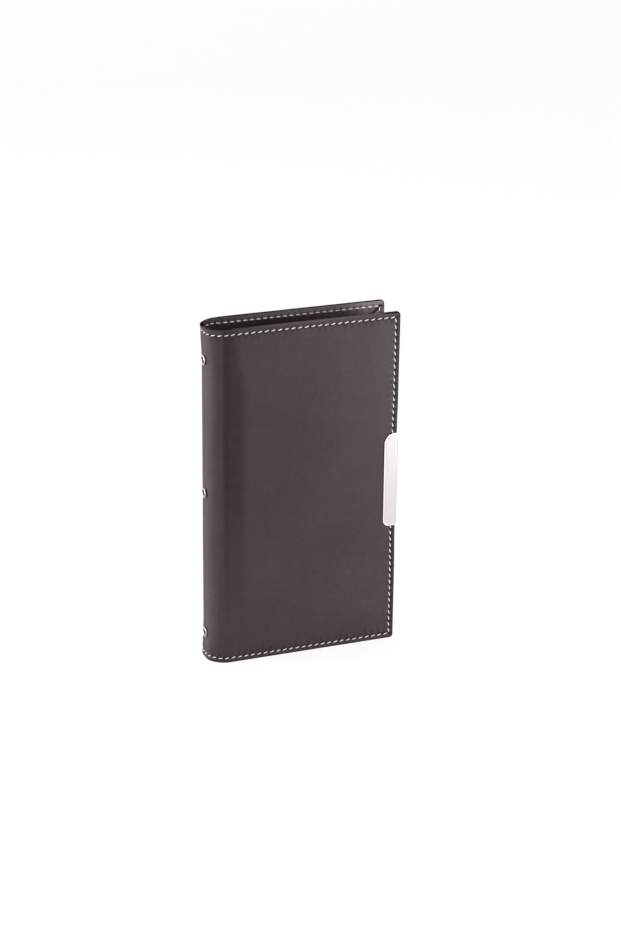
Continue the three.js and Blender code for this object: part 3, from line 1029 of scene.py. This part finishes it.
def rounded_ring(low_x, low_z, high_x, high_z, radius, steps):
    """The outline of a round-cornered rectangle, as points in the sheet's plane."""
    points = []
    corners = ((high_x - radius, high_z - radius, 0), (low_x + radius, high_z - radius, 90),
               (low_x + radius, low_z + radius, 180), (high_x - radius, low_z + radius, 270))
    for x, z, start in corners:
        for i in range(steps + 1):
            angle = math.radians(start + 90 * i / steps)
            points.append((x + radius * math.cos(angle), z + radius * math.sin(angle)))
    return points


def sheet_of_film(thickness):
    """One film sheet with its holes, lying in the XY plane round z = 0: points and faces."""
    curve = bpy.data.curves.new("film_outline", "CURVE")
    curve.dimensions = "2D"
    curve.fill_mode = "BOTH"
    curve.extrude = thickness / 2 - FILM_SOFT
    curve.bevel_depth = FILM_SOFT
    curve.bevel_resolution = 1
    outlines = [rounded_ring(leaf_low.x + FILM_SOFT, leaf_low.z + FILM_SOFT, leaf_high.x - FILM_SOFT,
                             leaf_high.z - FILM_SOFT, LEAF_ROUND, 8)]
    for number in range(1, 5):
        low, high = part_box(f"ring_{number}_front")
        height = (low.z + high.z) / 2 / MM
        circle = []
        for k in range(40):
            angle = -2 * math.pi * k / 40
            circle.append((HOLE_X + HOLE * math.cos(angle), height + HOLE * math.sin(angle)))
        outlines.append(circle)
    for outline in outlines:
        spline = curve.splines.new("POLY")
        spline.points.add(len(outline) - 1)
        for point, (x, z) in zip(spline.points, outline):
            point.co = (x, z, 0, 1)
        spline.use_cyclic_u = True
    drawn = bpy.data.objects.new("film_outline", curve)
    bpy.context.scene.collection.objects.link(drawn)
    mesh = bpy.data.meshes.new_from_object(drawn)
    points = [Vector((v.co.x, v.co.z, v.co.y)) for v in mesh.vertices]
    faces = [tuple(reversed(p.vertices)) for p in mesh.polygons]
    bpy.data.objects.remove(drawn)
    bpy.data.curves.remove(curve)
    bpy.data.meshes.remove(mesh)
    return points, faces


def add_rib(points, faces, path, side, surface):
    """Adds a low rounded rib along a path in the sheet's plane, on one face of the sheet."""
    first = len(points)
    section = [(-1, 0), (-0.7, 0.7), (0, 1), (0.7, 0.7), (1, 0), (0, -0.4)]
    for i, (x, z) in enumerate(path):
        ax, az = path[max(i - 1, 0)]
        bx, bz = path[min(i + 1, len(path) - 1)]
        length = math.hypot(bx - ax, bz - az)
        beside = ((az - bz) / length * RIB / 2, (bx - ax) / length * RIB / 2)
        for across, rise in section:
            y = side * (surface + rise * RIB_RISE)
            points.append(Vector((x + beside[0] * across, y, z + beside[1] * across)))
    count = len(section)
    added = []
    for i in range(len(path) - 1):
        for k in range(count):
            a = first + i * count + k
            b = first + i * count + (k + 1) % count
            added.append((a, b, b + count, a + count))
    added.append(tuple(range(first + count - 1, first - 1, -1)))
    added.append(tuple(range(len(points) - count, len(points))))
    faces += [face[::-1] for face in added] if side > 0 else added


film = clear_film()
thick = leaf_high.y - leaf_low.y
film_points, film_faces = sheet_of_film(thick)
plain_count = len(film_points)
tall = leaf_high.z - leaf_low.z
for side in (-1, 1):
    for share in range(POCKETS + 1):
        z = leaf_low.z + WELD_END + (tall - 2 * WELD_END) * share / POCKETS
        add_rib(film_points, film_faces, [(STRIP_X, z), (leaf_high.x - WELD_END, z)], side, thick / 2)
    for x in (STRIP_X, leaf_high.x - WELD_END):
        weld = [(x, leaf_low.z + WELD_SIDE), (x, leaf_high.z - WELD_SIDE)]
        add_rib(film_points, film_faces, weld, side, thick / 2)
for share in range(1, POCKETS + 1):
    z = leaf_low.z + WELD_END + (tall - 2 * WELD_END) * share / POCKETS - 4
    span = leaf_high.x - STRIP_X - 6
    path = []
    for i in range(25):
        x = STRIP_X + 3 + span * i / 24
        path.append((x, z - 5 * hump(x, (STRIP_X + leaf_high.x) / 2, 12)))
    add_rib(film_points, film_faces, path, -1, thick / 2)
welded = [0.0] * plain_count + [1.0] * (len(film_points) - plain_count)
for i, point in enumerate(film_points[:plain_count]):
    welded[i] = 1.0 if point.x < STRIP_X else 0.0
for number in range(1, 11):
    low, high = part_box(f"leaf_{number:02d}")
    shift = Vector((0, (low.y + high.y) / 2 / MM, 0))
    leaf = made_mesh(f"film_leaf_{number:02d}", [p + shift for p in film_points], film_faces, film)
    for polygon in leaf.data.polygons:
        polygon.use_smooth = len(polygon.vertices) == 4
    note(leaf, "weld", welded)
    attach(leaf, f"leaf_{number:02d}")
    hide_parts(f"leaf_{number:02d}")


low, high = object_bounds()
